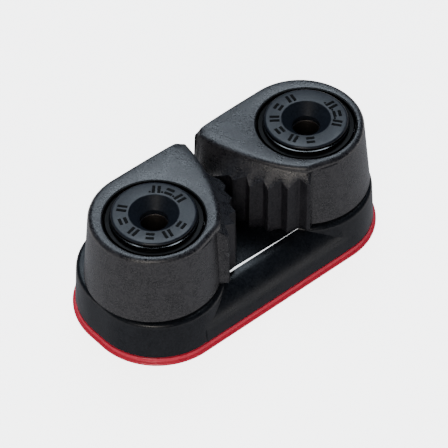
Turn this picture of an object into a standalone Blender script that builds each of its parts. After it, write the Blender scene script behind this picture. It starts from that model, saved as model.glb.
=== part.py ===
"""Ball-bearing cam cleat: two sprung, toothed cams on posts over a moulded base with a red foot plate.

Metres, +Z up. The origin lies on the underside, midway between the two fixing screws. +X runs through
both screws, the rope's load pulls towards -Y and its free tail leaves towards +Y.
"""

import bpy
import bmesh
from math import atan2, cos, exp, hypot, pi, radians, sin, sqrt
from mathutils import Vector

MM = 0.001

# Driving dimensions, in millimetres.
SCREW_SPACING = 38.0
SCREW_HOLE_R = 2.65
FRONT_R = 13.9              # outline radius of the load side's corners
FRONT_CENTRE_Y = -0.35
BACK_R = 14.9               # outline radius of the tail side's corners
BACK_CENTRE_Y = 3.4
CLEARANCE = 0.3

PLATE_TOP = 1.5
PLATE_BEAD_TOP = 0.45       # the plate's foot is a rounded bead that stands out from its wall
PLATE_WALL_INSET = 0.55
BODY_BOTTOM = PLATE_TOP + CLEARANCE
PLATFORM_TOP = 10.2
BODY_INSET = 0.6            # the body's foot stands this far inside the foot plate's edge
BODY_DRAFT = 0.4
BODY_EDGE_R = 0.8
FLOOR_TOP = 9.5             # rope floor between the two platforms
LIP_TOP = 9.9               # crest that edges the rope floor on the load side
LIP_Y = -8.6
LOAD_SIDE_ROUND = (         # (forward, down) steps from the lip's crest over the rounded load side
    (0.15, 0.0), (1.0, 0.1), (2.0, 0.45), (3.0, 1.15), (3.9, 2.3), (4.5, 3.9), (4.85, 5.9),
)
POST_SEAT = 2.6             # floor of the hole that the post stands in

POST_R = 5.75
POST_TOP = 23.9
SHOULDER_R = 9.3
SHOULDER_BOTTOM = 14.3
SHOULDER_TOP = 14.9

CAM_BOTTOM = 10.7
CAM_TOP = 25.85
CAM_EDGE = 0.6              # height of the rounded top edge over the teeth
NOSE_EDGE = 1.1             # height and width of the rounded top edge on the plain side
EDGE_ARCS = (               # where the one becomes the other, on the load side and on the tail side
    (radians(-78.0), radians(-50.0)), (radians(48.0), radians(92.0)),
)
CAM_BORE_R = 9.75
CAM_MOUTH_R = 9.6
MOUTH_BOTTOM = 24.0
CAM_DRAFT = 0.85            # how far the walls stand out at the cam's foot
CAM_LEAN = (-0.57, -0.19)   # how far the foot's outline shifts, outwards and forwards
NOSE_CENTRE = (0.5, 0.9)    # centre of the cam's round side, u towards the rope and v towards the tail
NOSE_R = 12.25
TIP_FLAT = (14.5, 11.6)     # tail tip of the flat top
TIP_EDGE = (16.8, 11.9)     # tail tip of the rounded edge round it
TIP_FOOT = (17.75, 12.4)    # tail tip of the upright face below that
BACK_FLAT = (14.2, 12.1)    # the same three where the tip turns into the back wall
BACK_EDGE = (16.05, 12.7)
BACK_KNEE = (17.05, 12.95)
BACK_FOOT = (17.15, 13.81)
NOSE_END = radians(7.0)     # gap between the end of the round side and the first tooth
HEEL = (8.62, -10.9)        # corner of the narrow face in front of the first tooth
CROWN = (0.3, 0.7)          # where the rounded top edge bulges, as shares of its width and height
FLARE_SLOPE = 1.1           # how fast the jaw's face runs out below the top edge
JAW_FLAT = (12.1, 1.45)     # radius of the flat top where the teeth start, and its growth with angle cubed
JAW_EDGE = (12.37, 2.81)    # the same for the rounded edge below it

SPIRAL_START = radians(-49.0)
SPIRAL_R = 14.02            # tooth tip radius at the spiral's start
SPIRAL_RATE = 0.286         # growth of the radius per radian
TOOTH_PITCH = 3.6
TOOTH_DEPTH = 1.35
ROOT_SHARE = 0.45           # a root's place between two tips, which leaves the flank towards the load longer
TOOTH_DRAFT = 0.2           # how far the teeth stand out at the cam's foot
TOOTH_COUNT = 8
TOOTH_FADE_ARC = (radians(-3.0), radians(12.0))     # the teeth's upper ends run out across this arc
TAIL_DROP = 5.5             # how far the flare hangs down over the last teeth
TAIL_DROP_ARC = (radians(4.0), radians(28.0))
TAIL_REACH = 0.6            # the flare's least run-out that hangs down in full

CAP_BOTTOM = 24.2
CAP_FLANGE_TOP = 25.5
CAP_TOP = 27.25
CAP_FLANGE_R = 9.25
CAP_R = 8.1
CAP_EDGE = 0.4
CAP_SHOULDER = 0.4          # chamfer where the button meets its flange
COUNTERSINK_R = 4.73

BALL_R = 1.9
BALLS_PER_ROW = 12
BALL_ORBIT_R = (POST_R + CAM_BORE_R) / 2
BALL_ROWS = {"lower": 17.0, "upper": 21.9}

SPRING_R = 7.7
SPRING_WIRE_R = 0.5
SPRING_BOTTOM = 11.3
SPRING_PITCH = 1.4
SPRING_TURNS = 1.5
SPRING_LEG_ANGLE = radians(20.0)
SPRING_LEG_END_R = 10.7
SPRING_TANG_BOTTOM = 8.7
SPRING_BEND = 0.7           # height of the bend from the tang into the coil
SPRING_STEPS = 20           # wire segments in a turn
POCKET_INNER_R = 5.0
POCKET_R = 11.3             # the pocket in the cam that takes the spring's upper leg
POCKET_WIDTH = 2.2
POCKET_TOP = 14.2
TANG_HOLE_R = 0.9
TANG_HOLE_BOTTOM = 8.3
TANG_HOLE_STEPS = 12

ROUND_STEPS = 48
NOSE_STEPS = 22
OUTLINE_STEPS = 72
SIDES = {"left": -1, "right": 1}


def clear_scene():
    for obj in list(bpy.data.objects):
        bpy.data.objects.remove(obj, do_unlink=True)


def material(name, colour, roughness, metallic=0.0):
    mat = bpy.data.materials.new(name)
    mat.use_nodes = True
    shader = mat.node_tree.nodes["Principled BSDF"]
    shader.inputs["Base Color"].default_value = (*colour, 1.0)
    shader.inputs["Roughness"].default_value = roughness
    shader.inputs["Metallic"].default_value = metallic
    return mat


def finish_object(name, bm, mat, smooth_angle=35.0):
    """Turn a bmesh in millimetres into a named object in metres."""
    bmesh.ops.remove_doubles(bm, verts=bm.verts, dist=0.0005)
    bmesh.ops.recalc_face_normals(bm, faces=bm.faces)
    bmesh.ops.scale(bm, vec=(MM, MM, MM), verts=bm.verts)
    mesh = bpy.data.meshes.new(name)
    bm.to_mesh(mesh)
    bm.free()
    mesh.shade_smooth()
    mesh.set_sharp_from_angle(angle=radians(smooth_angle))
    obj = bpy.data.objects.new(name, mesh)
    bpy.context.scene.collection.objects.link(obj)
    if mat is not None:
        mesh.materials.append(mat)
    return obj


def place(obj, x, y=0.0, z=0.0):
    obj.location = Vector((x, y, z)) * MM
    return obj


def as_cutter(obj):
    obj.hide_render = True
    obj.display_type = "WIRE"
    return obj


def add_boolean(obj, other, operation):
    mod = obj.modifiers.new(f"{operation.lower()}_{other.name}", "BOOLEAN")
    mod.operation = operation
    mod.solver = "EXACT"
    mod.object = other
    as_cutter(other)


def loft(loops):
    """Closed solid through stacked loops of equal length, given from the bottom to the top."""
    bm = bmesh.new()
    rings = [[bm.verts.new(point) for point in loop] for loop in loops]
    for lower, upper in zip(rings, rings[1:]):
        for i in range(len(lower)):
            j = (i + 1) % len(lower)
            bm.faces.new((lower[i], lower[j], upper[j], upper[i]))
    bm.faces.new(list(reversed(rings[0])))
    bm.faces.new(rings[-1])
    return bm


def lathe(profile, steps=ROUND_STEPS):
    """Turn a closed (radius, z) profile about the Z axis. Its first and last points may lie on the axis."""
    bm = bmesh.new()
    rings = []
    for i in range(steps):
        angle = 2 * pi * i / steps
        ring = []
        for radius, z in profile:
            ring.append(bm.verts.new((radius * cos(angle), radius * sin(angle), z)))
        rings.append(ring)
    for i in range(steps):
        this, after = rings[i], rings[(i + 1) % steps]
        for k in range(len(profile)):
            m = (k + 1) % len(profile)
            if profile[k][0] == 0 and profile[m][0] == 0:
                continue
            bm.faces.new((this[k], after[k], after[m], this[m]))
    bmesh.ops.remove_doubles(bm, verts=bm.verts, dist=0.0005)
    bmesh.ops.dissolve_degenerate(bm, dist=0.0005, edges=bm.edges)
    return bm


def cylinder(radius, bottom, top, steps=ROUND_STEPS):
    return lathe([(0, bottom), (radius, bottom), (radius, top), (0, top)], steps)


def outline(circles, inset, z, steps=OUTLINE_STEPS):
    """The closed line that runs tangent round a set of (x, y, radius) circles, drawn in by an inset."""
    points = []
    for i in range(steps):
        angle = 2 * pi * (i + 0.5) / steps
        nx, ny = cos(angle), sin(angle)
        x, y, radius = max(circles, key=lambda c: c[0] * nx + c[1] * ny + c[2])
        points.append((x + (radius - inset) * nx, y + (radius - inset) * ny, z))
    return points


def end_circles(sign):
    """The load side's and the tail side's circles at one end; both reach equally far along X."""
    x = sign * SCREW_SPACING / 2
    return [(x, FRONT_CENTRE_Y, FRONT_R), (x - sign * (BACK_R - FRONT_R), BACK_CENTRE_Y, BACK_R)]


def make_base_plate(mat):
    circles = end_circles(-1) + end_circles(1)
    wall = PLATE_WALL_INSET
    bead = PLATE_BEAD_TOP
    steps = [(wall * 0.27, 0.0), (0.0, bead * 0.27), (0.0, bead), (wall * 0.55, bead * 1.6),
             (wall * 0.9, bead * 1.78), (wall, PLATE_TOP)]
    plate = finish_object("base_plate", loft([outline(circles, inset, z) for inset, z in steps]), mat)
    for side, sign in SIDES.items():
        hole = finish_object(f"cutter_plate_{side}", cylinder(SCREW_HOLE_R, -1.0, PLATE_TOP + 1.0), None)
        add_boolean(plate, place(hole, sign * SCREW_SPACING / 2), "DIFFERENCE")
    return plate


def body_profile():
    """(inset, z) steps up the base body's wall, with a rounded upper edge."""
    top_inset = BODY_INSET + BODY_DRAFT
    profile = [(BODY_INSET, BODY_BOTTOM)]
    for step in range(4):
        angle = step / 3 * pi / 2
        inset = top_inset + BODY_EDGE_R * (1 - cos(angle))
        profile.append((inset, PLATFORM_TOP - BODY_EDGE_R * (1 - sin(angle))))
    return profile


def bridge_profile():
    """(y, z) outline of the bar between the platforms: tail wall, rope floor, lip and rounded load side."""
    back = BACK_CENTRE_Y + BACK_R
    front = FRONT_CENTRE_Y - FRONT_R + BODY_INSET
    edge = BODY_EDGE_R
    back_top = back - BODY_INSET - BODY_DRAFT
    profile = [
        (front, BODY_BOTTOM),
        (back - BODY_INSET, BODY_BOTTOM),
        (back_top, FLOOR_TOP - edge),
        (back_top - edge * 0.3, FLOOR_TOP - edge * 0.3),
        (back_top - edge, FLOOR_TOP),
        (LIP_Y + 0.35, FLOOR_TOP),
        (LIP_Y + 0.1, LIP_TOP - 0.1),
    ]
    for forward, down in LOAD_SIDE_ROUND:
        profile.append((LIP_Y - forward, LIP_TOP - down))
    return profile


def make_base_body(mat):
    ends = {}
    for side, sign in SIDES.items():
        loops = [outline(end_circles(sign), inset, z) for inset, z in body_profile()]
        name = "base_body" if side == "left" else "union_right_platform"
        ends[side] = finish_object(name, loft(loops), mat if side == "left" else None)
    half = SCREW_SPACING / 2 - (BACK_R - FRONT_R)
    loops = [[(x, y, z) for y, z in bridge_profile()] for x in (-half, half)]
    bridge = finish_object("union_bridge", loft(loops), None)
    body = ends["left"]
    add_boolean(body, bridge, "UNION")
    add_boolean(body, ends["right"], "UNION")
    for side, sign in SIDES.items():
        x = sign * SCREW_SPACING / 2
        bore = [(0, BODY_BOTTOM - 1), (SCREW_HOLE_R, BODY_BOTTOM - 1), (SCREW_HOLE_R, POST_SEAT),
                (POST_R + CLEARANCE, POST_SEAT), (POST_R + CLEARANCE, CAM_BOTTOM), (0, CAM_BOTTOM)]
        hole = finish_object(f"cutter_post_{side}", lathe(bore), None)
        add_boolean(body, place(hole, x), "DIFFERENCE")
        tang_u = SPRING_R * cos(spring_start())
        tang_v = SPRING_R * sin(spring_start())
        drill = cylinder(TANG_HOLE_R, TANG_HOLE_BOTTOM, CAM_BOTTOM, TANG_HOLE_STEPS)
        tang = finish_object(f"cutter_tang_{side}", drill, None)
        add_boolean(body, place(tang, x - sign * tang_u, tang_v), "DIFFERENCE")
    return body


def make_post(side, sign, mat):
    profile = [
        (SCREW_HOLE_R, POST_SEAT + CLEARANCE), (POST_R, POST_SEAT + CLEARANCE),
        (POST_R, SHOULDER_BOTTOM), (SHOULDER_R, SHOULDER_BOTTOM),
        (SHOULDER_R, SHOULDER_TOP), (POST_R, SHOULDER_TOP),
        (POST_R, POST_TOP), (SCREW_HOLE_R, POST_TOP),
    ]
    return place(finish_object(f"post_{side}", lathe(profile), mat), sign * SCREW_SPACING / 2)


def make_cap(side, sign, mat):
    """The black retaining cap: a countersunk button over a flange that closes the cam's mouth."""
    seat_z = CAP_TOP - (COUNTERSINK_R - SCREW_HOLE_R)
    profile = [
        (SCREW_HOLE_R, CAP_BOTTOM), (CAP_FLANGE_R, CAP_BOTTOM),
        (CAP_FLANGE_R, CAP_FLANGE_TOP), (CAP_R + CAP_SHOULDER, CAP_FLANGE_TOP),
        (CAP_R, CAP_FLANGE_TOP + CAP_SHOULDER), (CAP_R, CAP_TOP - CAP_EDGE),
        (CAP_R - CAP_EDGE * 0.3, CAP_TOP - CAP_EDGE * 0.3), (CAP_R - CAP_EDGE, CAP_TOP),
        (COUNTERSINK_R, CAP_TOP), (SCREW_HOLE_R, seat_z),
    ]
    return place(finish_object(f"cap_{side}", lathe(profile), mat), sign * SCREW_SPACING / 2)


def spiral_radius(angle):
    return SPIRAL_R * exp(SPIRAL_RATE * (angle - SPIRAL_START))


def tooth_points():
    """(u, v) of tooth tips and the roots between them, from the load side to the jaw's tail tip."""
    points = []
    angle = SPIRAL_START
    for tooth in range(TOOTH_COUNT):
        radius = spiral_radius(angle)
        points.append((radius * cos(angle), radius * sin(angle)))
        step = TOOTH_PITCH / (radius * sqrt(1 + SPIRAL_RATE ** 2))
        if tooth < TOOTH_COUNT - 1:
            root_angle = angle + step * ROOT_SHARE
            root = spiral_radius(root_angle) - TOOTH_DEPTH
            points.append((root * cos(root_angle), root * sin(root_angle)))
        angle += step
    return points


def eased_share(angle, arc):
    """0 before an arc, 1 after it, and an eased climb between."""
    start, end = arc
    share = min(max((angle - start) / (end - start), 0.0), 1.0)
    return share * share * (3 - 2 * share)


def jaw_point(line, angle):
    """(u, v) on one of the two lines above the jaw, at an angle about the post."""
    radius = line[0] + line[1] * (angle - SPIRAL_START) ** 3
    return (radius * cos(angle), radius * sin(angle))


def edge_height(edge):
    """Height of the rounded top edge at one of its (u, v) points."""
    angle = atan2(edge[1], edge[0])
    plain = 1 - eased_share(angle, EDGE_ARCS[0]) + eased_share(angle, EDGE_ARCS[1])
    return CAM_EDGE + (NOSE_EDGE - CAM_EDGE) * plain


def cam_columns():
    """One (foot, knee, edge, flat) column for each point round the cam, in (u, v, z) about the post.

    The knee is where the jaw's flared face meets the upright face below it. On the plain walls it is a
    point half way down the draft.
    """
    columns = []

    def add(flat, edge, knee, foot, knee_z):
        edge_z = CAM_TOP - edge_height(edge)
        columns.append(((*foot, CAM_BOTTOM), (*knee, knee_z), (*edge, edge_z), (*flat, CAM_TOP)))

    def add_jaw(flat, edge, knee, foot):
        run_out = max(hypot(*knee) - hypot(*edge), 0.0)
        angle = atan2(knee[1], knee[0])
        reach = max(spiral_radius(angle) - hypot(*edge), TAIL_REACH)
        hanging = TAIL_DROP * eased_share(angle, TAIL_DROP_ARC) * min(run_out / reach, 1.0)
        add(flat, edge, knee, foot, CAM_TOP - edge_height(edge) - run_out / FLARE_SLOPE - hanging)

    for u, v in tooth_points():
        angle = atan2(v, u)
        radius = hypot(u, v)
        faded = radius + (spiral_radius(angle) - radius) * eased_share(angle, TOOTH_FADE_ARC)
        knee = (u * faded / radius, v * faded / radius)
        foot = (u * (1 + TOOTH_DRAFT / radius), v * (1 + TOOTH_DRAFT / radius))
        add_jaw(jaw_point(JAW_FLAT, angle), jaw_point(JAW_EDGE, angle), knee, foot)
    add_jaw(TIP_FLAT, TIP_EDGE, TIP_FOOT, TIP_FOOT)
    add_jaw(BACK_FLAT, BACK_EDGE, BACK_KNEE, BACK_FOOT)

    start = pi / 2
    end = 2 * pi + SPIRAL_START - NOSE_END
    for step in range(NOSE_STEPS + 1):
        angle = start + (end - start) * step / NOSE_STEPS
        nu, nv = cos(angle), sin(angle)
        edge = (NOSE_CENTRE[0] + NOSE_R * nu, NOSE_CENTRE[1] + NOSE_R * nv)
        flat = (edge[0] - NOSE_EDGE * nu, edge[1] - NOSE_EDGE * nv)
        foot = (edge[0] + CAM_DRAFT * nu + CAM_LEAN[0], edge[1] + CAM_DRAFT * nv + CAM_LEAN[1])
        middle = ((edge[0] + foot[0]) / 2, (edge[1] + foot[1]) / 2)
        add(flat, edge, middle, foot, (CAM_TOP - NOSE_EDGE + CAM_BOTTOM) / 2)
    heel_angle = atan2(HEEL[1], HEEL[0])
    add_jaw(jaw_point(JAW_FLAT, heel_angle), jaw_point(JAW_EDGE, heel_angle), HEEL, HEEL)
    return columns


def make_cam(side, sign, mat):
    """A cam with its origin on its pivot. The left cam's u axis is +X; the right cam is its mirror image."""
    foot, knee, edge, flat = zip(*cam_columns())
    crown = []
    for (eu, ev, ez), (fu, fv, fz) in zip(edge, flat):
        crown.append((eu + (fu - eu) * CROWN[0], ev + (fv - ev) * CROWN[0], ez + (fz - ez) * CROWN[1]))
    loops = [foot, knee, edge, crown, flat]
    mirrored = [[(-sign * u, v, z) for u, v, z in loop] for loop in loops]
    cam = finish_object(f"cam_{side}", loft(mirrored), mat, 25.0)

    mouth_z = MOUTH_BOTTOM + CAM_BORE_R - CAM_MOUTH_R
    bore = [(0, CAM_BOTTOM - 1), (CAM_BORE_R, CAM_BOTTOM - 1), (CAM_BORE_R, MOUTH_BOTTOM),
            (CAM_MOUTH_R, mouth_z), (CAM_MOUTH_R, CAM_TOP + 1), (0, CAM_TOP + 1)]
    cutter = finish_object(f"cutter_bore_{side}", lathe(bore), None)
    x = sign * SCREW_SPACING / 2
    add_boolean(place(cam, x), place(cutter, x), "DIFFERENCE")

    across = Vector((-sin(SPRING_LEG_ANGLE), cos(SPRING_LEG_ANGLE))) * POCKET_WIDTH / 2
    along = Vector((cos(SPRING_LEG_ANGLE), sin(SPRING_LEG_ANGLE)))
    inner, outer = along * POCKET_INNER_R, along * POCKET_R
    corners = [inner - across, outer - across, outer + across, inner + across]
    slot = [[(-sign * c.x, c.y, z) for c in corners] for z in (CAM_BOTTOM - 1, POCKET_TOP)]
    pocket = finish_object(f"cutter_pocket_{side}", loft(slot), None)
    add_boolean(cam, place(pocket, x), "DIFFERENCE")
    return cam


def spring_start():
    """Angle of the spring's lower tang about the post."""
    return SPRING_LEG_ANGLE - 2 * pi * SPRING_TURNS


def make_spring(side, sign, mat):
    """Torsion spring round the post: a tang down into the base, 1.5 turns and a leg out into the cam."""
    start = spring_start()
    tang = (SPRING_TANG_BOTTOM, SPRING_BOTTOM - SPRING_BEND)
    route = [(SPRING_R * cos(start), SPRING_R * sin(start), z) for z in tang]
    steps = int(SPRING_TURNS * SPRING_STEPS)
    for step in range(steps + 1):
        turn = SPRING_TURNS * step / steps
        angle = start + 2 * pi * turn
        route.append((SPRING_R * cos(angle), SPRING_R * sin(angle), SPRING_BOTTOM + SPRING_PITCH * turn))
    top_z = SPRING_BOTTOM + SPRING_PITCH * SPRING_TURNS
    route.append((SPRING_LEG_END_R * cos(SPRING_LEG_ANGLE), SPRING_LEG_END_R * sin(SPRING_LEG_ANGLE), top_z))

    curve = bpy.data.curves.new(f"spring_{side}", "CURVE")
    curve.dimensions = "3D"
    curve.bevel_depth = SPRING_WIRE_R * MM
    curve.bevel_resolution = 1
    curve.use_fill_caps = True
    spline = curve.splines.new("POLY")
    spline.points.add(len(route) - 1)
    for point, (u, v, z) in zip(spline.points, route):
        point.co = (-sign * u * MM, v * MM, z * MM, 1.0)
    curve.materials.append(mat)
    obj = bpy.data.objects.new(f"spring_{side}", curve)
    bpy.context.scene.collection.objects.link(obj)
    return place(obj, sign * SCREW_SPACING / 2)


def make_balls(side, sign, mat):
    """Two rows of bearing balls that run between the post and the cam's bore."""
    bm = bmesh.new()
    bmesh.ops.create_icosphere(bm, subdivisions=2, radius=BALL_R * MM)
    mesh = bpy.data.meshes.new(f"bearing_ball_{side}")
    bm.to_mesh(mesh)
    bm.free()
    mesh.shade_smooth()
    mesh.materials.append(mat)
    for row, z in BALL_ROWS.items():
        for index in range(BALLS_PER_ROW):
            angle = 2 * pi * index / BALLS_PER_ROW
            ball = bpy.data.objects.new(f"ball_{side}_{row}_{index + 1:02d}", mesh)
            bpy.context.scene.collection.objects.link(ball)
            x = sign * SCREW_SPACING / 2 + BALL_ORBIT_R * cos(angle)
            place(ball, x, BALL_ORBIT_R * sin(angle), z)


def main():
    clear_scene()
    red = material("red_foot_plate", (0.62, 0.03, 0.04), 0.35)
    black = material("black_base", (0.012, 0.014, 0.018), 0.4)
    charcoal = material("charcoal_cam", (0.045, 0.047, 0.052), 0.6)
    cap_black = material("black_cap", (0.03, 0.034, 0.042), 0.35)
    steel = material("post_steel", (0.6, 0.6, 0.62), 0.3, 1.0)
    spring_steel = material("spring_steel", (0.5, 0.5, 0.52), 0.35, 1.0)
    acetal = material("white_acetal", (0.8, 0.79, 0.76), 0.35)
    make_base_plate(red)
    make_base_body(black)
    for side, sign in SIDES.items():
        make_post(side, sign, steel)
        make_cap(side, sign, cap_black)
        make_cam(side, sign, charcoal)
        make_spring(side, sign, spring_steel)
        make_balls(side, sign, acetal)


main()
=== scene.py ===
"""Visual model of a ball-bearing cam cleat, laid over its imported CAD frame.

Lengths are in millimetres in the frame's axes until a mesh is made: +X through both screws, the rope's
load towards -Y and its free tail towards +Y, +Z up off the deck. A cam's own outline is drawn in (u, v)
about its post, with u towards the other cam and v towards the tail.
"""

from math import atan2, cos, exp, hypot, pi, radians, sin, sqrt

import bmesh
import bpy
from mathutils import Matrix, Vector


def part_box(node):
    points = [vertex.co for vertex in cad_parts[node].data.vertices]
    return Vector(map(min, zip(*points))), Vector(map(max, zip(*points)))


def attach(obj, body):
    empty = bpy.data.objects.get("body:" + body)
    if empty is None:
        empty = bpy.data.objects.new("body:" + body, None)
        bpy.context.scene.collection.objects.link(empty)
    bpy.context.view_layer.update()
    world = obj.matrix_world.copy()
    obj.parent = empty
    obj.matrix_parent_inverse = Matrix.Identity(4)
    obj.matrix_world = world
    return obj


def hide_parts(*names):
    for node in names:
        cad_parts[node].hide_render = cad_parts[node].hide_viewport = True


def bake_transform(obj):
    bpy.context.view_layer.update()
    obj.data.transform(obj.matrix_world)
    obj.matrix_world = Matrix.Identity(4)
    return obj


MM = 0.001
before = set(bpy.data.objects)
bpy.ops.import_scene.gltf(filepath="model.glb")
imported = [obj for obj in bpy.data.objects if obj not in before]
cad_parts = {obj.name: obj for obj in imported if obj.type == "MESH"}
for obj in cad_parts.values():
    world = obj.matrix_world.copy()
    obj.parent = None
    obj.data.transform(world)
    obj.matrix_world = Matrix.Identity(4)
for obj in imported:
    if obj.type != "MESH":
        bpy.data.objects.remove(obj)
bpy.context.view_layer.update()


def span(node):
    """(low, high) corners of a CAD node in millimetres."""
    low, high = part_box(node)
    return low / MM, high / MM


# Heights and places that come from the frame.
SCREW_X = span("post_right")[0].x / 2 + span("post_right")[1].x / 2
PLATE_LOW, PLATE_HIGH = span("base_plate")
BODY_LOW, BODY_HIGH = span("base_body")
CAM_BOTTOM, CAM_TOP = (corner.z for corner in span("cam_left"))
CAP_BOTTOM, CAP_TOP = (corner.z for corner in span("cap_left"))
POST_BOTTOM, POST_TOP = (corner.z for corner in span("post_left"))
SPRING_TANG_BOTTOM = span("spring_left")[0].z
BALL_R = (span("ball_left_lower_01")[1].z - span("ball_left_lower_01")[0].z) / 2
PLATFORM_TOP = BODY_HIGH.z

# The outline that the foot plate and the base body share.
FRONT_R = PLATE_HIGH.x - SCREW_X
FRONT_CENTRE_Y = PLATE_LOW.y + FRONT_R
BACK_R = FRONT_R + 1.0      # the tail side's corners are rounder
BACK_CENTRE_Y = PLATE_HIGH.y - BACK_R

# The base.
SCREW_HOLE_R = 2.65
BODY_INSET = 0.6            # the body's foot stands this far inside the plate's edge
BODY_DRAFT = 0.4            # how far the body's wall leans in
BODY_EDGE_R = 0.9
FLOOR_TOP = 9.5             # the rope floor between the platforms
LIP_TOP = 9.95              # the crest that edges the floor on the load side
LIP_Y = -8.6
LIP_CREST = 0.05            # width of the lip's crest
LIP_HIGHLIGHT_WIDTH = 0.85             # the crest's flat width at the left, where its painted highlight is widest
LIP_HIGHLIGHT_END = 5.5          # where along X the flat, and its painted highlight, has narrowed to the crest's width
LOAD_SIDE_FOOT = 1.6        # height of the upright foot below the rounded load side
CLEARANCE = 0.3
POST_SEAT = 2.6             # floor of the hole that a post stands in
POST_R = 5.75
SHOULDER_R = 9.3            # the post's shoulder lies between the spring and the lower row of balls
SHOULDER_BOTTOM = 14.3
SHOULDER_TOP = 14.9

# The cams. A corner is a (u, v) point.
BORE_R = 9.75
MOUTH_R = 9.6
MOUTH_BOTTOM = 24.0
RIM_R = 9.87                # a shallow step runs round the mouth
RIM_DROP = 0.09
FOOT_EDGE_R = 0.25
NOSE_EDGE = 1.1             # width and height of the rounded top edge on the cam's plain side
JAW_EDGE_HEIGHT = 0.65      # its height over the teeth
EDGE_ARCS = ((radians(-48.0), radians(-5.0)), (radians(48.0), radians(92.0)))  # where one becomes the other
CAM_DRAFT = 0.85            # how far the plain walls stand out at the cam's foot
CAM_LEAN = (-0.57, -0.19)   # how far the foot's outline shifts, outwards and towards the load
NOSE_CENTRE = (0.5, 0.95)   # centre of the cam's round side
NOSE_R = 12.27
NOSE_GAP = radians(7.0)     # between the end of the round side and the first tooth
NOSE_STEPS = 110
FLAT_PASSES, EDGE_PASSES = 160, 90      # rounds of smoothing where the nose's top lines meet the jaw's
SMOOTH_BEFORE, SMOOTH_AFTER = 16, 42    # columns that it covers on the nose's side and the jaw's
JAW_FLAT = (11.35, 2.05)    # a line's radius where the teeth start, and its growth with angle cubed
JAW_EDGE = (12.37, 2.81)
TIP_FLAT, TIP_EDGE, TIP_FOOT = (13.95, 11.25), (16.8, 11.9), (17.75, 12.4)
BACK_FLAT, BACK_EDGE, BACK_KNEE, BACK_FOOT = (14.0, 12.25), (16.0, 12.75), (17.05, 12.95), (17.1, 13.8)
FLARE_SLOPE = 1.1           # how fast the jaw's face runs out below the top edge
FLARE_COVE = 0.2            # how much steeper it is where it meets the teeth
SPIRAL_START = radians(-49.0)
SPIRAL_R = 14.02            # tooth tip radius at the spiral's start
SPIRAL_RATE = 0.286         # growth of the radius per radian
TOOTH_PITCH = 3.6
TOOTH_DEPTH = 1.35
ROOT_SHARE = 0.45           # a root's place between two tips
TOOTH_DRAFT = 0.2           # how far the teeth stand out at the cam's foot
TOOTH_COUNT = 8
HEEL = (8.62, -10.9)        # corner of the narrow face in front of the first tooth
TAIL_DROP = 5.5             # how far the flare hangs down over the last teeth
TAIL_DROP_ARC = (radians(4.0), radians(28.0))
TAIL_REACH = 0.6            # the flare's least run-out that hangs down in full
TAIL_END_ARC = (atan2(TIP_FOOT[1], TIP_FOOT[0]), atan2(BACK_KNEE[1], BACK_KNEE[0]))
TOOTH_FADE_ARC = (radians(-3.0), radians(12.0))     # the teeth's upper ends run out across this arc

# The caps.
CAP_R = 8.1
CAP_EDGE_R = 0.55
CAP_FLANGE_R = 9.25
CAP_FLANGE_TOP = 25.5
LEDGE_R = 8.34              # a narrow polished ledge runs round the button's side
LEDGE_TOP = 26.3
LEDGE_RISE = 0.06
COUNTERSINK_R = 4.73
MARK_RING_R = 6.05
MARK_HEIGHT = 0.06
MARK_WIDTH = 0.6
MARK_OFFSET = 0.52          # from a pair's centre to each of its bars
RADIAL_MARK = 1.9           # lengths of the bars that point outwards and of those that run round
ROUND_MARK = 1.6
DOT_WIDTH = 0.4
DOT_RING_R = 5.5
DOT_LAG = radians(12.5)     # from a pair to the dot after it
LONG_MARK_STEP = radians(31.8)      # between the six pairs that fill the longer side
SHORT_MARK_START = radians(228.5)
SHORT_MARK_STEP = radians(24.5)
FIRST_MARK = {"left": radians(128.0), "right": radians(77.0)}

# The springs and the bearings.
SPRING_R = 7.7
SPRING_WIRE_R = 0.5
SPRING_BOTTOM = 11.3
SPRING_PITCH = 1.4
SPRING_TURNS = 1.5
SPRING_LEG_ANGLE = radians(20.0)
SPRING_LEG_END_R = 10.7
POCKET_INNER_R = 5.0
POCKET_R = 11.3             # the pocket in the cam that takes the spring's upper leg
POCKET_WIDTH = 2.2
POCKET_TOP = 14.2
SPRING_START = SPRING_LEG_ANGLE - 2 * pi * SPRING_TURNS
TANG_HOLE_R = 0.9
TANG_HOLE_BOTTOM = 8.3

ROUND_STEPS = 160
PLATE_STEPS = 240
SHARP = 40.0                # an edge that turns more than this many degrees stays crisp
BODY_SHARP = 16.0
CAM_SHARP = 38.0
PLAIN, TEETH, MOUTH = range(3)              # a cam's finishes
BUTTON, RING, LEDGE, CONE = range(4)        # a cap's finishes
AIM = Vector((0, 0, 12))                    # a point in the middle of the cleat, which the lights face
SIDES = {"left": -1, "right": 1}


# ---------------------------------------------------------------- meshes

def shade(mesh, sharp):
    """Smooth shading, with the edges that turn more than an angle in degrees kept crisp."""
    mesh.shade_smooth()
    mesh.set_sharp_from_angle(angle=radians(sharp))


def mesh_object(name, points, faces, materials, sharp=SHARP, finishes=None):
    """An object from points in millimetres. The finishes give each face the index of its material."""
    mesh = bpy.data.meshes.new(name)
    mesh.from_pydata([Vector(p) * MM for p in points], [], faces)
    for mat in materials:
        mesh.materials.append(mat)
    if finishes:
        mesh.polygons.foreach_set("material_index", finishes)
    bm = bmesh.new()
    bm.from_mesh(mesh)
    bmesh.ops.remove_doubles(bm, verts=bm.verts, dist=0.0004 * MM)
    bmesh.ops.dissolve_degenerate(bm, dist=0.0002 * MM, edges=bm.edges)
    bmesh.ops.recalc_face_normals(bm, faces=bm.faces)
    bm.to_mesh(mesh)
    bm.free()
    shade(mesh, sharp)
    obj = bpy.data.objects.new(name, mesh)
    bpy.context.scene.collection.objects.link(obj)
    return obj


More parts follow.
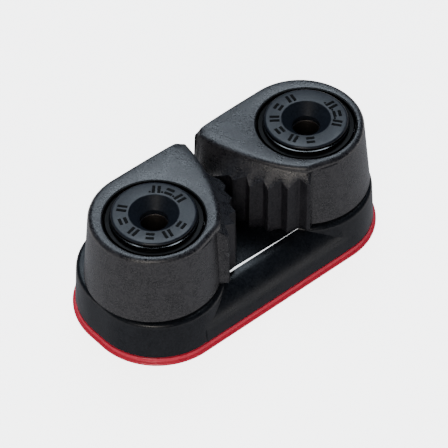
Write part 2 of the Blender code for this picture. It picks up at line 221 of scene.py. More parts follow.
def skin(rings, closed_loop=False):
    """Quads between rings of equal length. The rings are joined end to end, or capped."""
    points = [p for ring in rings for p in ring]
    count = len(rings[0])
    faces = []
    for k in range(len(rings) if closed_loop else len(rings) - 1):
        m = (k + 1) % len(rings)
        for i in range(count):
            j = (i + 1) % count
            faces.append((k * count + i, k * count + j, m * count + j, m * count + i))
    if not closed_loop:
        faces.append(tuple(reversed(range(count))))
        faces.append(tuple(range((len(rings) - 1) * count, len(rings) * count)))
    return points, faces


def circle(x, y, radius, z, steps):
    """A level ring of points round a centre."""
    points = []
    for i in range(steps):
        angle = 2 * pi * i / steps
        points.append((x + radius * cos(angle), y + radius * sin(angle), z))
    return points


def lathe(profile):
    """A closed (radius, z) profile, all of it off the axis, turned about Z."""
    return skin([circle(0.0, 0.0, radius, z, ROUND_STEPS) for radius, z in profile], closed_loop=True)


def fillet(corner, before, after, radius, steps=5):
    """Points that round a profile's corner, which lies between the points before and after it."""
    corner, before, after = Vector(corner), Vector(before), Vector(after)
    start = corner + (before - corner).normalized() * radius
    end = corner + (after - corner).normalized() * radius
    points = []
    for i in range(steps + 1):
        t = i / steps
        points.append(tuple(start * (1 - t) ** 2 + corner * 2 * t * (1 - t) + end * t ** 2))
    return points


def rounded(profile):
    """A closed profile with each (r, z, fillet) corner rounded by its own fillet."""
    points = []
    for k, (r, z, size) in enumerate(profile):
        if size == 0:
            points.append((r, z))
            continue
        before, after = profile[k - 1][:2], profile[(k + 1) % len(profile)][:2]
        points.extend(fillet((r, z), before, after, size))
    return points


def outline(circles, inset, z, steps=ROUND_STEPS):
    """The closed line that runs tangent round a set of (x, y, radius) circles, drawn in by an inset."""
    points = []
    for i in range(steps):
        angle = 2 * pi * (i + 0.5) / steps
        nx, ny = cos(angle), sin(angle)
        x, y, radius = max(circles, key=lambda c: c[0] * nx + c[1] * ny + c[2])
        points.append((x + (radius - inset) * nx, y + (radius - inset) * ny, z))
    return points


def end_circles(sign):
    """The load side's and the tail side's circles at one end; both reach equally far along X."""
    back_x = SCREW_X + FRONT_R - BACK_R
    return [(sign * SCREW_X, FRONT_CENTRE_Y, FRONT_R), (sign * back_x, BACK_CENTRE_Y, BACK_R)]


def carve(obj, others, sharp, operation="DIFFERENCE"):
    """Apply Booleans with other solids, remove those, and shade the result."""
    for other in others:
        mod = obj.modifiers.new("carve", "BOOLEAN")
        mod.operation = operation
        mod.solver = "EXACT"
        mod.object = other
    graph = bpy.context.evaluated_depsgraph_get()
    mesh = bpy.data.meshes.new_from_object(obj.evaluated_get(graph))
    obj.modifiers.clear()
    obj.data = mesh
    for other in others:
        bpy.data.objects.remove(other, do_unlink=True)
    shade(mesh, sharp)


def place(obj, body, *nodes):
    """Put a piece on its body, in place of its CAD nodes."""
    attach(obj, body)
    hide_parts(*nodes)


def drill(name, x, y, radius, bottom, top, steps=96):
    """A plain cylinder that cuts a round hole."""
    points, faces = skin([circle(x, y, radius, z, steps) for z in (bottom, top)])
    return mesh_object(name, points, faces, [])


# ---------------------------------------------------------------- materials

def add(tree, kind, inputs=(), **settings):
    """A shader node. An input's value is a number, a colour, or another node's output socket."""
    node = tree.nodes.new(kind)
    for key, value in settings.items():
        setattr(node, key, value)
    for key, value in dict(inputs).items():
        if isinstance(value, bpy.types.NodeSocket):
            tree.links.new(value, node.inputs[key])
        else:
            node.inputs[key].default_value = value
    return node


def noise(tree, grain, detail, roughness=0.55, stretch=(1.0, 1.0, 1.0)):
    """Noise whose blotches are grain millimetres across."""
    where = add(tree, "ShaderNodeTexCoord").outputs["Object"]
    if stretch != (1.0, 1.0, 1.0):
        where = add(tree, "ShaderNodeMapping", {"Vector": where, "Scale": stretch}).outputs["Vector"]
    inputs = {"Vector": where, "Scale": 1 / (grain * MM), "Detail": detail, "Roughness": roughness}
    return add(tree, "ShaderNodeTexNoise", inputs).outputs["Fac"]


def ramp(tree, factor, *stops):
    """A colour ramp through (position, colour) stops; a number stands for a grey."""
    node = add(tree, "ShaderNodeValToRGB", {"Fac": factor})
    elements = node.color_ramp.elements
    while len(elements) < len(stops):
        elements.new(0.5)
    for element, (position, colour) in zip(elements, stops):
        element.position = position
        element.color = (colour, colour, colour, 1.0) if isinstance(colour, float) else (*colour, 1.0)
    return node.outputs["Color"]


def material(name):
    """A new material, its node tree and its shader."""
    mat = bpy.data.materials.new(name)
    mat.use_nodes = True
    return mat, mat.node_tree, mat.node_tree.nodes["Principled BSDF"]


def moulding(name, dark, light, roughness, grain, depth, specular=0.5):
    """A moulded plastic: mottled at its grain, cloudy over larger patches, and dimpled to a depth in mm."""
    mat, tree, shader = material(name)
    fine = noise(tree, grain, 4.0, 0.7)
    cloud = noise(tree, 2.5, 2.0)
    blend = add(tree, "ShaderNodeMix", {"Factor": 0.2, "A": fine, "B": cloud}).outputs["Result"]
    tree.links.new(ramp(tree, blend, (0.38, dark), (0.62, light)), shader.inputs["Base Color"])
    dullness = ramp(tree, cloud, (0.3, roughness - 0.06), (0.7, roughness + 0.06))
    tree.links.new(dullness, shader.inputs["Roughness"])
    bump = add(tree, "ShaderNodeBump", {"Strength": 1.0, "Distance": depth * MM, "Height": fine})
    tree.links.new(bump.outputs["Normal"], shader.inputs["Normal"])
    shader.inputs["Specular IOR Level"].default_value = specular
    return mat


def glow(mat, colour, strength):
    """Let a material shine a little by itself, as a painted highlight."""
    shader = mat.node_tree.nodes["Principled BSDF"]
    shader.inputs["Emission Color"].default_value = (*colour, 1.0)
    shader.inputs["Emission Strength"].default_value = strength


def metal(name, dark, light, roughness, stretch):
    """A turned or drawn metal, with fine marks stretched along the piece."""
    mat, tree, shader = material(name)
    marks = noise(tree, 1.2, 4.0, 0.6, stretch)
    tree.links.new(ramp(tree, marks, (0.3, dark), (0.7, light)), shader.inputs["Base Color"])
    dullness = ramp(tree, marks, (0.3, roughness - 0.06), (0.7, roughness + 0.08))
    tree.links.new(dullness, shader.inputs["Roughness"])
    bump = add(tree, "ShaderNodeBump", {"Strength": 1.0, "Distance": 0.004 * MM, "Height": marks})
    tree.links.new(bump.outputs["Normal"], shader.inputs["Normal"])
    shader.inputs["Metallic"].default_value = 1.0
    return mat


# Each has a name, its dark and light colours, a roughness, its grain and depth in mm, and a specular level.
CAM_BLACK = moulding("cam_eroded_black", (0.004, 0.004, 0.006), (0.038, 0.038, 0.042), 0.28, 0.36, 0.07, 0.4)
TOOTH_BLACK = moulding("cam_tooth_black", (0.003, 0.003, 0.005), (0.022, 0.022, 0.026), 0.4, 0.36,
                       0.045, 0.22)
BASE_BLACK = moulding("base_satin_black", (0.003, 0.004, 0.006), (0.012, 0.014, 0.018), 0.32, 0.4, 0.026, 0.2)
CAP_BLACK = moulding("cap_satin_black", (0.007, 0.009, 0.013), (0.014, 0.017, 0.024), 0.34, 0.4, 0.008, 0.24)
CONE_BLACK = moulding("cap_cone_black", (0.006, 0.008, 0.012), (0.012, 0.015, 0.021), 0.45, 0.4, 0.008, 0.12)
# Near-black and almost unreflective: painted shade for the groove round each cap and down the cam's mouth and
# bore.
RING_SHADE_BLACK = moulding("cap_ring_painted_shade", (0.001, 0.001, 0.001), (0.003, 0.003, 0.003), 0.3, 0.4, 0.001, 0.05)
GLOSS_BLACK = moulding("cap_gloss_black", (0.001, 0.001, 0.001), (0.003, 0.003, 0.003), 0.14, 0.4, 0.001, 0.9)
MARK_BLACK = moulding("mark_gloss_black", (0.001, 0.001, 0.001), (0.002, 0.002, 0.002), 0.3, 0.3, 0.001, 0.03)
RED = moulding("foot_plate_red", (0.66, 0.026, 0.060), (0.76, 0.036, 0.078), 0.3, 0.5, 0.002, 0.4)
# A pale strip that glows by itself: the painted highlight along the lip's crest.
LIP_PAINTED_HIGHLIGHT = moulding("lip_painted_highlight", (0.80, 0.82, 0.85), (0.92, 0.94, 0.96), 0.4, 0.5, 0.001, 0.5)
glow(LIP_PAINTED_HIGHLIGHT, (0.95, 0.97, 1.0), 1.7)
WHITE_ACETAL = moulding("ball_white_acetal", (0.70, 0.69, 0.65), (0.80, 0.79, 0.76), 0.3, 0.3, 0.001)
# The metals have a name, two colours, a roughness and the stretch of their marks.
STEEL = metal("post_turned_steel", (0.42, 0.42, 0.44), (0.62, 0.62, 0.64), 0.3, (1.0, 1.0, 14.0))
# Darker, duller steel for the bore: painted shade down the screw hole.
BORE_SHADE_STEEL = metal("post_bore_painted_shade", (0.10, 0.09, 0.08), (0.16, 0.14, 0.13), 0.5, (1.0, 1.0, 14.0))
SPRING_STEEL = metal("spring_drawn_wire", (0.38, 0.38, 0.40), (0.56, 0.56, 0.58), 0.28, (1.0, 1.0, 6.0))


# ---------------------------------------------------------------- base

def make_base_plate():
    """The red foot plate: a rounded bead at the deck, a quirk above it and an upright wall."""
    circles = end_circles(-1) + end_circles(1)
    profile = [(0.22, 0.0), (0.08, 0.05), (0.0, 0.2), (0.0, 0.32), (0.06, 0.46), (0.18, 0.56), (0.34, 0.64),
               (0.47, 0.7), (0.53, 0.78), (0.55, 0.9), (0.55, PLATE_HIGH.z - 0.05), (0.6, PLATE_HIGH.z)]
    points, faces = skin([outline(circles, inset, z, PLATE_STEPS) for inset, z in profile])
    plate = mesh_object("foot_plate_moulding", points, faces, [RED])
    holes = [drill(f"hole_{side}", sign * SCREW_X, 0.0, SCREW_HOLE_R, -1.0, PLATE_HIGH.z + 1.0)
             for side, sign in SIDES.items()]
    carve(plate, holes, SHARP)
    place(plate, "base", "base_plate")


def arc(centre, radius_y, radius_z, start, end, steps):
    """Points on an ellipse's arc in the (y, z) plane; angles are in degrees from +Y towards +Z."""
    points = []
    for i in range(steps + 1):
        angle = radians(start + (end - start) * i / steps)
        points.append((centre[0] + radius_y * cos(angle), centre[1] + radius_z * sin(angle)))
    return points


def bridge_profile(highlight_width):
    """(y, z) outline of the bar between the platforms: tail wall, rope floor, lip and rounded load side.

    The lip's crest is flat over a width, and that flat carries the painted highlight.
    """
    back = PLATE_HIGH.y - BODY_INSET
    front = PLATE_LOW.y + BODY_INSET
    edge = BODY_EDGE_R
    profile = [(front, BODY_LOW.z), (back, BODY_LOW.z)]
    profile += arc((back - BODY_DRAFT - edge, FLOOR_TOP - edge), edge, edge, 0, 90, 6)
    crest = LIP_Y + highlight_width
    profile += [(crest + 0.5, FLOOR_TOP), (crest + 0.22, FLOOR_TOP + 0.12), (crest + 0.06, LIP_TOP - 0.08)]
    profile += [(crest, LIP_TOP), (LIP_Y, LIP_TOP), (LIP_Y - 0.08, LIP_TOP - 0.12)]
    load_y, load_z = LIP_Y - 0.2, BODY_LOW.z + LOAD_SIDE_FOOT
    profile += arc((load_y, load_z), load_y - front, LIP_TOP - 0.14 - load_z, 90, 180, 22)
    return profile


def make_base_body():
    """The black body: two platforms joined by a bridge, with holes for the posts, screws and spring tangs."""
    top_inset = BODY_INSET + BODY_DRAFT
    wall = [(BODY_INSET + 0.08, BODY_LOW.z), (BODY_INSET, BODY_LOW.z + 0.1)]
    for step in range(8):
        angle = radians(90 * step / 7)
        inset = top_inset + BODY_EDGE_R * (1 - cos(angle))
        wall.append((inset, PLATFORM_TOP - BODY_EDGE_R * (1 - sin(angle))))
    ends = {}
    for side, sign in SIDES.items():
        points, faces = skin([outline(end_circles(sign), inset, z) for inset, z in wall])
        ends[side] = mesh_object(f"base_{side}_end", points, faces, [BASE_BLACK])
    half = SCREW_X - (BACK_R - FRONT_R)
    stations = ((-half, LIP_HIGHLIGHT_WIDTH), (LIP_HIGHLIGHT_END, LIP_CREST), (half, LIP_CREST))
    points, faces = skin([[(x, y, z) for y, z in bridge_profile(highlight_width)] for x, highlight_width in stations])
    bridge = mesh_object("base_bridge", points, faces, [BASE_BLACK, LIP_PAINTED_HIGHLIGHT])
    # The lip's flat crest takes the pale glowing strip, a painted highlight.
    for face in bridge.data.polygons:
        if face.normal.z > 0.9 and face.center.z > (LIP_TOP - 0.02) * MM:
            face.material_index = 1
    # The left end gets the same slot, so the painted highlight keeps its index through the union.
    ends["left"].data.materials.append(LIP_PAINTED_HIGHLIGHT)
    body = ends["left"]
    carve(body, [bridge, ends["right"]], BODY_SHARP, "UNION")
    body.name = "base_moulding"
    cutters = []
    for side, sign in SIDES.items():
        x = sign * SCREW_X
        cutters.append(drill(f"seat_{side}", x, 0.0, POST_R + CLEARANCE, POST_SEAT, CAM_BOTTOM))
        cutters.append(drill(f"hole_{side}", x, 0.0, SCREW_HOLE_R, 0.0, CAM_BOTTOM))
        tang = x - sign * SPRING_R * cos(SPRING_START), SPRING_R * sin(SPRING_START)
        cutters.append(drill(f"tang_hole_{side}", *tang, TANG_HOLE_R, TANG_HOLE_BOTTOM, CAM_BOTTOM, 32))
    carve(body, cutters, BODY_SHARP)
    place(body, "base", "base_body")


def make_post(side, sign):
    """A hollow turned post with a shoulder. Its bore is darker and duller than its outside: painted shade
    down the hole.
    """
    profile = rounded([
        (SCREW_HOLE_R, POST_BOTTOM, 0.2), (POST_R, POST_BOTTOM, 0.3),
        (POST_R, SHOULDER_BOTTOM, 0.0), (SHOULDER_R, SHOULDER_BOTTOM, 0.15),
        (SHOULDER_R, SHOULDER_TOP, 0.15), (POST_R, SHOULDER_TOP, 0.2),
        (POST_R, POST_TOP, 0.25), (SCREW_HOLE_R, POST_TOP, 0.15),
    ])
    points, faces = lathe(profile)
    post = mesh_object(f"post_{side}_turned", points, faces, [STEEL, BORE_SHADE_STEEL])
    # The bore's faces take the darker steel that paints the hole's shade.
    for face in post.data.polygons:
        if hypot(face.center.x, face.center.y) < (SCREW_HOLE_R + 0.05) * MM:
            face.material_index = 1
    post.location.x = sign * SCREW_X * MM
    place(post, "base", f"post_{side}")


# ---------------------------------------------------------------- cams

def spiral_radius(angle):
    """Radius of the curve that the tooth tips lie on."""
    return SPIRAL_R * exp(SPIRAL_RATE * (angle - SPIRAL_START))


def tooth_corners():
    """(u, v) of tooth tips and of the roots between them, from the load side to the jaw's tail tip."""
    corners = []
    angle = SPIRAL_START
    for tooth in range(TOOTH_COUNT):
        radius = spiral_radius(angle)
        corners.append(Vector((radius * cos(angle), radius * sin(angle))))
        step = TOOTH_PITCH / (radius * sqrt(1 + SPIRAL_RATE ** 2))
        if tooth < TOOTH_COUNT - 1:
            root_angle = angle + step * ROOT_SHARE
            root = spiral_radius(root_angle) - TOOTH_DEPTH
            corners.append(Vector((root * cos(root_angle), root * sin(root_angle))))
        angle += step
    return corners


def eased_share(angle, arc_ends):
    """0 before an arc, 1 after it, and an eased climb between."""
    start, end = arc_ends
    share = min(max((angle - start) / (end - start), 0.0), 1.0)
    return share * share * (3 - 2 * share)


def edge_height(angle):
    """Height of the rounded top edge."""
    plain = 1 - eased_share(angle, EDGE_ARCS[0]) + eased_share(angle, EDGE_ARCS[1])
    return JAW_EDGE_HEIGHT + (NOSE_EDGE - JAW_EDGE_HEIGHT) * plain


def on_jaw(line, angle):
    """The point at an angle on one of the two lines above the jaw."""
    radius = line[0] + line[1] * (angle - SPIRAL_START) ** 3
    return Vector((radius * cos(angle), radius * sin(angle)))


def nose_columns():
    """(flat, edge, top of wall, foot) round the cam's plain side, from the tail to the load side."""
    columns = []
    start, end = pi / 2, 2 * pi + SPIRAL_START - NOSE_GAP
    for step in range(NOSE_STEPS + 1):
        angle = start + (end - start) * step / NOSE_STEPS
        normal = Vector((cos(angle), sin(angle)))
        edge = Vector(NOSE_CENTRE) + normal * NOSE_R
        foot = edge + normal * CAM_DRAFT + Vector(CAM_LEAN)
        columns.append((edge - normal * NOSE_EDGE, edge, edge, foot))
    return columns


def spread(corners, fractions):
    """Points along each straight stretch between corners, at the given fractions of it."""
    points = []
    for a, b in zip(corners, corners[1:]):
        points.extend(a.lerp(b, t) for t in fractions)
    return points + [corners[-1]]


def bend(points, passes):
    """Points eased towards their neighbours' middle, which rounds the corners between them."""
    for _ in range(passes):
        softened = [points[0]]
        for a, b, c in zip(points, points[1:], points[2:]):
            softened.append(b * 0.5 + (a + c) * 0.25)
        points = softened + [points[-1]]
    return points


def smooth_row(columns, row, first, last, passes):
    """Columns with one of their rows bent smooth between two indices."""
    line = bend([column[row] for column in columns[first:last]], passes)
    result = list(columns)
    for offset, point in enumerate(line):
        column = list(result[first + offset])
        column[row] = point
        result[first + offset] = tuple(column)
    return result


def cam_columns():
    """All columns round the cam. Each is (flat, edge, top of wall, foot) in (u, v).

    They run round the nose, over the heel, along the teeth and round the tail tip. The flat and the edge
    are then bent smooth where the nose meets the teeth.
    """
    nose = nose_columns()
    jaw = []
    heel = Vector(HEEL)
    heel_angle = atan2(heel.y, heel.x)
    heel_column = (on_jaw(JAW_FLAT, heel_angle), on_jaw(JAW_EDGE, heel_angle), heel, heel)
    for t in (0.15, 0.35, 0.55, 0.75, 0.9):
        jaw.append(tuple(a.lerp(b, t) for a, b in zip(nose[-1], heel_column)))
    fractions = (0.0, 0.04, 0.1, 0.2, 0.35, 0.5, 0.65, 0.8, 0.9, 0.96)
    for wall in bend(spread([heel] + tooth_corners(), fractions), 2):
        angle = atan2(wall.y, wall.x)
        foot = wall * (1 + TOOTH_DRAFT / wall.length)
        faded = wall.length + (spiral_radius(angle) - wall.length) * eased_share(angle, TOOTH_FADE_ARC)
        top = wall * (faded / wall.length)
        jaw.append((on_jaw(JAW_FLAT, angle), on_jaw(JAW_EDGE, angle), top, foot))
    tip = (TIP_FLAT, TIP_EDGE, TIP_FOOT, TIP_FOOT)
    back = (BACK_FLAT, BACK_EDGE, BACK_KNEE, BACK_FOOT)
    fractions = [i / 16 for i in range(16)]
    rows = []
    for line in zip(jaw[-1], tip, back, nose[0]):
        rows.append(bend(spread([Vector(p) for p in line], fractions), 10))
    columns = nose + jaw + list(zip(*rows))[1:-1]
    for row, passes in enumerate((FLAT_PASSES, EDGE_PASSES)):
        columns = smooth_row(columns, row, len(nose) - SMOOTH_BEFORE, len(nose) + SMOOTH_AFTER, passes)
    return columns


def cam_rings():
    """Closed rings up the cam's outside, over its top and down its bore, with a finish for each face."""
    columns = cam_columns()
    edges = [edge_height(atan2(edge.y, edge.x)) for _, edge, _, _ in columns]
    wall_tops = []
    for height, (_, edge, top, _) in zip(edges, columns):
        run_out = max(top.length - edge.length, 0.0)
        angle = atan2(top.y, top.x)
        reach = max(spiral_radius(angle) - edge.length, TAIL_REACH)
        on_the_jaw = eased_share(angle, TAIL_DROP_ARC) - eased_share(angle, TAIL_END_ARC)
        hanging = TAIL_DROP * on_the_jaw * min(run_out / reach, 1.0)
        wall_tops.append(CAM_TOP - height - run_out / FLARE_SLOPE - hanging)
    first, last = (atan2(corner[1], corner[0]) for corner in (HEEL, TIP_FOOT))
    toothed = [first <= atan2(foot.y, foot.x) <= last for _, _, _, foot in columns]
    rings, finishes = [], []

    def ring(point, finish=PLAIN):
        rings.append([point(k, *column) for k, column in enumerate(columns)])
        finishes.extend(finish if on_teeth or finish != TEETH else PLAIN for on_teeth in toothed)

    def foot_ring(inwards, up):
        def point(k, flat, edge, top, foot):
            scale = 1 - inwards / foot.length
            return (foot.x * scale, foot.y * scale, CAM_BOTTOM + up)
        return point

    ring(foot_ring(FOOT_EDGE_R, 0.0), TEETH)
    ring(foot_ring(FOOT_EDGE_R * 0.35, FOOT_EDGE_R * 0.1), TEETH)
    ring(foot_ring(0.0, FOOT_EDGE_R * 0.6), TEETH)

    def wall(t):
        def point(k, flat, edge, top, foot):
            level = foot.lerp(top, t)
            return (level.x, level.y, CAM_BOTTOM + (wall_tops[k] - CAM_BOTTOM) * t)
        return point

    for t in (0.06, 0.2, 0.4, 0.6, 0.8, 0.93, 0.985):
        ring(wall(t), TEETH)
    ring(wall(1.0))

    def flare(t):
        def point(k, flat, edge, top, foot):
            level = top.lerp(edge, t)
            edge_z = CAM_TOP - edges[k]
            drop = (wall_tops[k] - edge_z) * ((1 + FLARE_COVE) * (1 - t) - FLARE_COVE * (1 - t) ** 2)
            return (level.x, level.y, edge_z + drop)
        return point

    for t in (0.04, 0.12, 0.25, 0.4, 0.55, 0.7, 0.85, 0.94):
        ring(flare(t))

    def crown(t):
        def point(k, flat, edge, top, foot):
            level = flat.lerp(edge, sin(t * pi / 2))
            return (level.x, level.y, CAM_TOP - edges[k] * (1 - cos(t * pi / 2)))
        return point

    for t in (1.0, 0.88, 0.75, 0.62, 0.5, 0.38, 0.25, 0.12, 0.0):
        ring(crown(t))

    def bore(radius, z):
        def point(k, flat, edge, top, foot):
            direction = flat.normalized()
            return (direction.x * radius, direction.y * radius, z)
        return point

    sunk = CAM_TOP - RIM_DROP
    ring(bore(RIM_R + 0.1, CAM_TOP))
    for radius, z in ((RIM_R + 0.03, CAM_TOP - 0.02), (RIM_R, CAM_TOP - 0.05),
                      (RIM_R - 0.03, sunk), (MOUTH_R + 0.12, sunk - 0.01),
                      (MOUTH_R + 0.03, sunk - 0.05), (MOUTH_R, sunk - 0.15), (MOUTH_R, MOUTH_BOTTOM + 0.15),
                      (BORE_R, MOUTH_BOTTOM), (BORE_R, 18.0), (BORE_R, CAM_BOTTOM + 0.3),
                      (BORE_R + 0.3, CAM_BOTTOM)):
        ring(bore(radius, z), MOUTH)
    return rings, finishes


def make_cam(side, sign):
    """A cam with its bore, and the pocket that takes the spring's upper leg."""
    rings, finishes = cam_rings()
    rings = [[(-sign * u, v, z) for u, v, z in ring] for ring in rings]
    points, faces = skin(rings, closed_loop=True)
    # The cam's rim step, mouth and bore take the near-black finish that paints their shade.
    blacks = [CAM_BLACK, TOOTH_BLACK, RING_SHADE_BLACK]
    cam = mesh_object(f"cam_{side}_moulding", points, faces, blacks, CAM_SHARP, finishes)
    along = Vector((cos(SPRING_LEG_ANGLE), sin(SPRING_LEG_ANGLE)))
    across = Vector((-along.y, along.x)) * POCKET_WIDTH / 2
    corners = [along * POCKET_INNER_R - across, along * POCKET_R - across,
               along * POCKET_R + across, along * POCKET_INNER_R + across]
    pocket = skin([[(-sign * c.x, c.y, z) for c in corners] for z in (CAM_BOTTOM - 1, POCKET_TOP)])
    carve(cam, [mesh_object(f"pocket_{side}", *pocket, [])], CAM_SHARP)
    cam.location.x = sign * SCREW_X * MM
    place(cam, f"cam_{side}", f"cam_{side}")


# ---------------------------------------------------------------- caps

def make_cap(side, sign):
    """The retaining cap: a satin button with a countersink and a ledge, over a flange in the cam's mouth."""
    top = CAP_TOP - MARK_HEIGHT
    seat = top - (COUNTERSINK_R - SCREW_HOLE_R)
    profile = rounded([
        (SCREW_HOLE_R, CAP_BOTTOM, 0.0), (CAP_FLANGE_R, CAP_BOTTOM, 0.1),
        (CAP_FLANGE_R, CAP_FLANGE_TOP, 0.12), (LEDGE_R, CAP_FLANGE_TOP, 0.1),
        (LEDGE_R, LEDGE_TOP, 0.03), (CAP_R, LEDGE_TOP + LEDGE_RISE, 0.02),
        (CAP_R, top, CAP_EDGE_R), (COUNTERSINK_R, top, 0.12), (SCREW_HOLE_R, seat, 0.12),
    ])
    points, faces = lathe(profile)
    cap = mesh_object(f"cap_{side}_button", points, faces, [CAP_BLACK, RING_SHADE_BLACK, GLOSS_BLACK, CONE_BLACK])
    for face in cap.data.polygons:
        radius = hypot(face.center.x, face.center.y) / MM
        height = face.center.z / MM
        if CAP_R + 0.02 < radius < LEDGE_R - 0.02 and height > LEDGE_TOP:
            face.material_index = LEDGE
        elif radius < COUNTERSINK_R - 0.1:
            face.material_index = CONE
        # The button's side, the flange and the underside take the groove's painted-shade black.
        elif radius > CAP_R - 0.05 or height < CAP_FLANGE_TOP:
            face.material_index = RING
        else:
            face.material_index = BUTTON
    cap.location.x = sign * SCREW_X * MM
    place(cap, "base", f"cap_{side}")


def bar(points, faces, centre, angle, length, width, top):
    """Add a small raised bar with eased edges to a mesh's lists. The length runs along the angle."""
    along = Vector((cos(angle), sin(angle)))
    across = Vector((-sin(angle), cos(angle)))
    base = len(points)
    for inset, z in ((0.0, top - 0.05), (0.0, top + MARK_HEIGHT * 0.55), (0.06, top + MARK_HEIGHT)):
        for a, b in ((-1, -1), (1, -1), (1, 1), (-1, 1)):
            corner = centre + along * a * (length / 2 - inset) + across * b * (width / 2 - inset)
            points.append((corner.x, corner.y, z))
    for level in (0, 4):
        for i in range(4):
            j = (i + 1) % 4
            faces.append((base + level + i, base + level + j, base + level + 4 + j, base + level + 4 + i))
    faces.append((base + 8, base + 9, base + 10, base + 11))
    faces.append((base + 3, base + 2, base + 1, base))


def make_marks(side, sign, first):
    """Generic raised marks round the cap: six plain pairs of bars, and three more with a dot after each."""
    top = CAP_TOP - MARK_HEIGHT
    points, faces = [], []

    def pair(angle, radial):
        out = Vector((cos(angle), sin(angle)))
        round_it = Vector((-sin(angle), cos(angle)))
        centre = out * MARK_RING_R
        for offset in (-MARK_OFFSET, MARK_OFFSET):
            if radial:
                bar(points, faces, centre + round_it * offset, angle, RADIAL_MARK, MARK_WIDTH, top)
            else:
                quarter_on = angle + pi / 2
                bar(points, faces, centre + out * offset, quarter_on, ROUND_MARK, MARK_WIDTH, top)

    def dot(angle):
        centre = Vector((cos(angle), sin(angle))) * DOT_RING_R
        bar(points, faces, centre, angle, DOT_WIDTH, DOT_WIDTH, top)

    for index in range(6):
        pair(first + LONG_MARK_STEP * index, index % 2 == 0)
    for index in range(3):
        angle = first + SHORT_MARK_START + SHORT_MARK_STEP * index
        pair(angle, index % 2 == 0)
        dot(angle + DOT_LAG)
    marks = mesh_object(f"cap_{side}_marks", points, faces, [MARK_BLACK], 20.0)
    marks.location.x = sign * SCREW_X * MM
    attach(marks, "base")


# ---------------------------------------------------------------- springs and bearings

def tube(name, path, radius, mat, sides=16):
    """A round wire along a path, narrowed at its ends."""
    rings = []
    frames = []
    for k, here in enumerate(path):
        ahead = path[min(k + 1, len(path) - 1)] - path[max(k - 1, 0)]
        frames.append((here, ahead.normalized()))
    side = frames[0][1].orthogonal().normalized()
    first, last = frames[0], frames[-1]
    stations = [(first[0] - first[1] * 0.1, first[1], radius * 0.75)] + [(p, d, radius) for p, d in frames]
    stations.append((last[0] + last[1] * 0.1, last[1], radius * 0.75))
    for here, ahead, size in stations:
        side = (side - ahead * side.dot(ahead)).normalized()
        other = ahead.cross(side)
        ring = []
        for i in range(sides):
            angle = 2 * pi * i / sides
            ring.append(tuple(here + (side * cos(angle) + other * sin(angle)) * size))
        rings.append(ring)
    points, faces = skin(rings)
    return mesh_object(name, points, faces, [mat], 60.0)


def make_spring(side, sign):
    """Torsion spring: a tang down into the base, a turn and a half, and a leg out into the cam."""
    path = []
    for z in (SPRING_TANG_BOTTOM + 0.1, 9.6, 10.2):
        path.append(Vector((SPRING_R * cos(SPRING_START), SPRING_R * sin(SPRING_START), z)))
    steps = int(SPRING_TURNS * 60)
    for step in range(1, steps + 1):
        turn = SPRING_TURNS * step / steps
        angle = SPRING_START + 2 * pi * turn
        rise = SPRING_BOTTOM + SPRING_PITCH * turn
        path.append(Vector((SPRING_R * cos(angle), SPRING_R * sin(angle), rise)))
    for radius in (SPRING_R + 0.5, SPRING_R + 1.5, SPRING_LEG_END_R - 0.1):
        path.append(Vector((radius * cos(SPRING_LEG_ANGLE), radius * sin(SPRING_LEG_ANGLE), path[-1].z)))
    path = [Vector((sign * SCREW_X - sign * p.x, p.y, p.z)) for p in path]
    spring = tube(f"spring_{side}_wire", path, SPRING_WIRE_R, SPRING_STEEL)
    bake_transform(spring)
    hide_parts(f"spring_{side}")


def ball_mesh():
    """The smooth ball that all the bearings share."""
    bm = bmesh.new()
    bmesh.ops.create_icosphere(bm, subdivisions=4, radius=BALL_R * MM)
    mesh = bpy.data.meshes.new("bearing_ball")
    bm.to_mesh(mesh)
    bm.free()
    mesh.shade_smooth()
    mesh.materials.append(WHITE_ACETAL)
    return mesh


def make_balls(mesh):
    """A smooth ball in place of each bearing ball of the frame."""
    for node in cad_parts:
        if not node.startswith("ball_"):
            continue
        low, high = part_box(node)
        ball = bpy.data.objects.new(f"{node}_round", mesh)
        bpy.context.scene.collection.objects.link(ball)
        ball.location = (low + high) / 2
        place(ball, "bearing_left" if "_left_" in node else "bearing_right", node)


# ---------------------------------------------------------------- studio

def add_floor():
    """A plain pale floor that lights nothing and shows in no reflection."""
    mat, _, shader = material("studio_floor")
    shader.inputs["Base Color"].default_value = (0.8, 0.8, 0.8, 1.0)
    shader.inputs["Roughness"].default_value = 0.9
    shader.inputs["Emission Color"].default_value = (1.0, 1.0, 1.0, 1.0)
    shader.inputs["Emission Strength"].default_value = 4.4
    size = 2000.0
    points = [(x * size, y * size, -0.05) for x, y in ((-1, -1), (1, -1), (1, 1), (-1, 1))]
    floor = mesh_object("studio_floor", points, [(0, 1, 2, 3)], [mat])
    floor.visible_glossy = False
    floor.visible_diffuse = False
    floor.visible_shadow = False


def add_light(name, direction, distance, size, power, colour):
    """A soft box that faces the object from a direction."""
    light = bpy.data.lights.new(name, "AREA")
    light.shape = "RECTANGLE"
    light.size, light.size_y = size[0] * MM, size[1] * MM
    light.energy = power
    light.color = colour
    obj = bpy.data.objects.new(name, light)
    bpy.context.scene.collection.objects.link(obj)
    towards = Vector(direction).normalized()
    obj.location = (towards * distance + AIM) * MM
    obj.rotation_euler = towards.to_track_quat("Z", "Y").to_euler()


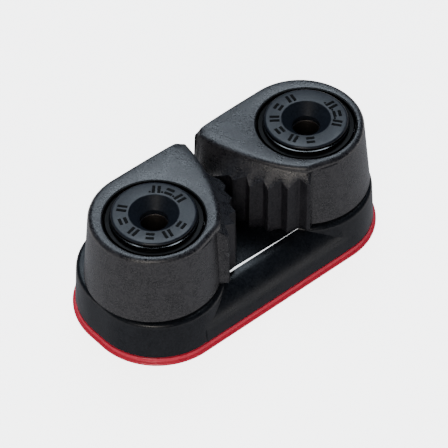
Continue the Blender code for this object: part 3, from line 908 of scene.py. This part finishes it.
def add_world():
    """Soft surroundings: a grey bounce from below, a bright band under the horizon and a dark ceiling."""
    world = bpy.data.worlds.new("studio")
    world.use_nodes = True
    tree = world.node_tree
    where = add(tree, "ShaderNodeTexCoord").outputs["Generated"]
    height = add(tree, "ShaderNodeSeparateXYZ", {"Vector": where}).outputs["Z"]
    whole = {"Value": height, "From Min": -1.0, "From Max": 1.0}
    level = add(tree, "ShaderNodeMapRange", whole).outputs["Result"]
    sky = ramp(tree, level, (0.0, (0.44, 0.45, 0.49)), (0.22, (0.42, 0.43, 0.47)), (0.30, (1.9, 1.85, 1.85)),
               (0.40, (1.9, 1.85, 1.85)), (0.46, (0.07, 0.08, 0.10)), (1.0, (0.02, 0.03, 0.05)))
    tree.links.new(sky, tree.nodes["Background"].inputs["Color"])
    bpy.context.scene.world = world


def add_camera():
    """A long lens that looks down on the load side and the left end."""
    azimuth, elevation, roll = radians(-40.44), radians(46.32), radians(-0.682)
    distance = 573.08
    back = Vector((sin(azimuth) * cos(elevation), -cos(azimuth) * cos(elevation), sin(elevation)))
    right = Vector((cos(azimuth), sin(azimuth), 0))
    up = back.cross(right)
    shift_right, shift_up = -1.468, -0.684      # how far from the aim the lens's axis passes
    place_at = right * shift_right + up * shift_up + AIM + back * distance
    across = right * cos(roll) + up * sin(roll)
    upright = up * cos(roll) - right * sin(roll)
    camera = bpy.data.cameras.new("camera")
    camera.lens = 240.0027
    camera.sensor_width = 36.0
    camera.clip_start, camera.clip_end = 0.01, 10.0
    obj = bpy.data.objects.new("camera", camera)
    bpy.context.scene.collection.objects.link(obj)
    turn = Matrix((across, upright, back)).transposed().to_4x4()
    obj.matrix_world = Matrix.Translation(place_at * MM) @ turn
    bpy.context.scene.camera = obj


make_base_plate()
make_base_body()
for side, sign in SIDES.items():
    make_post(side, sign)
    make_cam(side, sign)
    make_cap(side, sign)
    make_marks(side, sign, FIRST_MARK[side])
    make_spring(side, sign)
make_balls(ball_mesh())
add_floor()
add_world()
add_light("overhead_back", (0.30, 0.352, 0.886), 1500, (900, 900), 20.5, (0.78, 0.89, 1.0))
add_light("left_fill", (-0.66, -0.50, 0.56), 500, (190, 190), 1.3, (1.0, 0.93, 0.85))
add_camera()
